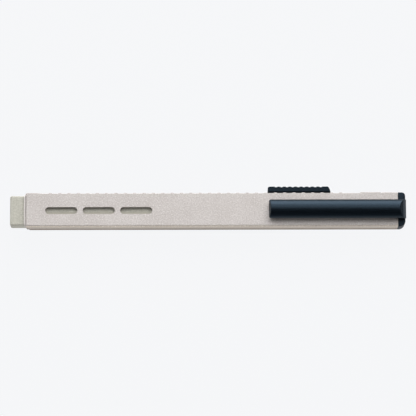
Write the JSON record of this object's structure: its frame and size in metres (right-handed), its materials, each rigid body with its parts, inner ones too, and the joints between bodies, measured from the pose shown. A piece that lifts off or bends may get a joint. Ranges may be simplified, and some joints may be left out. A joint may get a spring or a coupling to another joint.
{
  "type": "retractable pen eraser",
  "caption": "Flat pocket eraser: a slotted rectangular barrel with a stick eraser on a sliding carriage, a ribbed thumb slider, viewing windows, an end cap and a sprung pocket clip.",
  "frame": {"origin": "middle of the overall length, on the flat back face that the eraser lies on, on the centre line of the eraser stick", "axes": "+X along the barrel from the eraser tip to the end cap, +Y towards the thumb slider, +Z towards the pocket clip"},
  "size_m": [0.1268, 0.0132, 0.0108],
  "materials": {
    "barrel_plastic": "warm pearl grey moulded plastic, satin",
    "collar_plastic": "light warm grey moulded plastic, satin",
    "eraser_vinyl": "off-white vinyl eraser, chalky matte",
    "navy_plastic": "blue-black moulded plastic, semi-gloss",
    "slider_plastic": "blue-black moulded plastic, satin",
    "carriage_plastic": "natural acetal, satin",
    "spring_steel": "pressed spring steel strip"
  },
  "bodies": {
    "barrel": {"back_shell": "barrel_plastic", "front_cover": "barrel_plastic", "nose_collar": "collar_plastic", "end_cap": "navy_plastic"},
    "carriage": {"eraser_carriage": "carriage_plastic", "thumb_slider": "slider_plastic", "click_spring": "spring_steel", "grip_jaw_front": "spring_steel", "grip_jaw_back": "spring_steel"},
    "refill": {"eraser_stick": "eraser_vinyl"},
    "clip": {"pocket_clip": "navy_plastic"}
  },
  "joints": [
    {"name": "slider_travel", "type": "slide", "parent": "barrel", "child": "carriage", "axis": [-1, 0, 0], "range_m": [-0.006, 0.069], "deforming": ["click_spring"]},
    {"name": "refill_pull", "type": "slide", "parent": "carriage", "child": "refill", "axis": [-1, 0, 0], "range_m": [0, 0.012]},
    {"name": "clip_flex", "type": "hinge", "parent": "barrel", "child": "clip", "pos_m": [0.06177, 0, 0.0073], "axis": [0, 1, 0], "range_deg": [0, 4], "stiffness_Nm_per_rad": 1.8}
  ]
}
